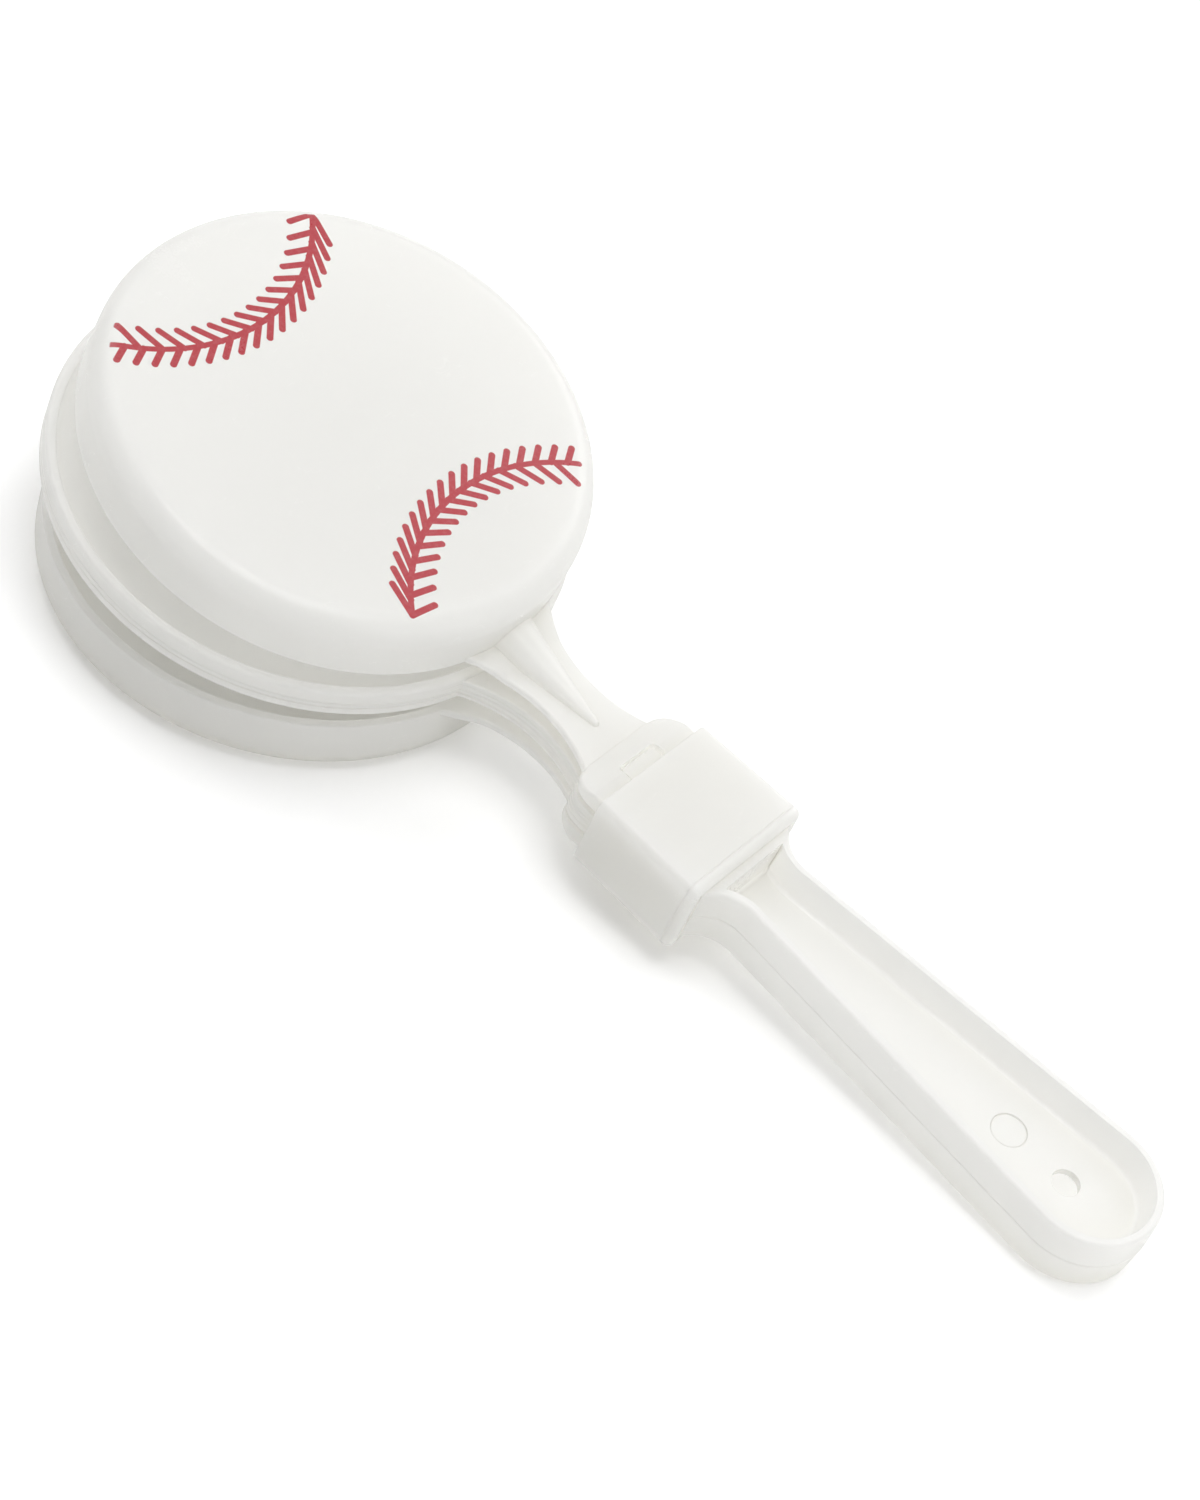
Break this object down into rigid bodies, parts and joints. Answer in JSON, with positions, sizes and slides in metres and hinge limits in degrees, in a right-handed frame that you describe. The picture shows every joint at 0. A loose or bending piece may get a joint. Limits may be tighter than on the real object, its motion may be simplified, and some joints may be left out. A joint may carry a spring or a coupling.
{
  "type": "hand clapper",
  "caption": "Hand clapper noisemaker: paddle disc with a handle, hollow cap clappers hinged on both sides of it, held by a square collar.",
  "frame": {"origin": "middle of the bounding box: halfway along the length, on the centre paddle's mid-plane", "axes": "+X from the disc end to the handle end, Y along the hinge axes, +Z out of the front clapper's side"},
  "size_m": [0.216, 0.0846, 0.0466],
  "materials": {
    "white_plastic": "white injection-moulded plastic with a soft gloss"
  },
  "bodies": {
    "paddle": {"centre_paddle": "white_plastic", "collar": "white_plastic"},
    "front": {"front_clapper": "white_plastic"},
    "rear": {"rear_clapper": "white_plastic"}
  },
  "joints": [
    {"name": "front_swing", "type": "hinge", "parent": "paddle", "child": "front", "pos_m": [0.0093, 0, 0.00375], "axis": [0, 1, 0], "range_deg": [-4.95, 0]},
    {"name": "rear_swing", "type": "hinge", "parent": "paddle", "child": "rear", "pos_m": [0.0093, 0, -0.00375], "axis": [0, -1, 0], "range_deg": [-4.95, 0]}
  ]
}
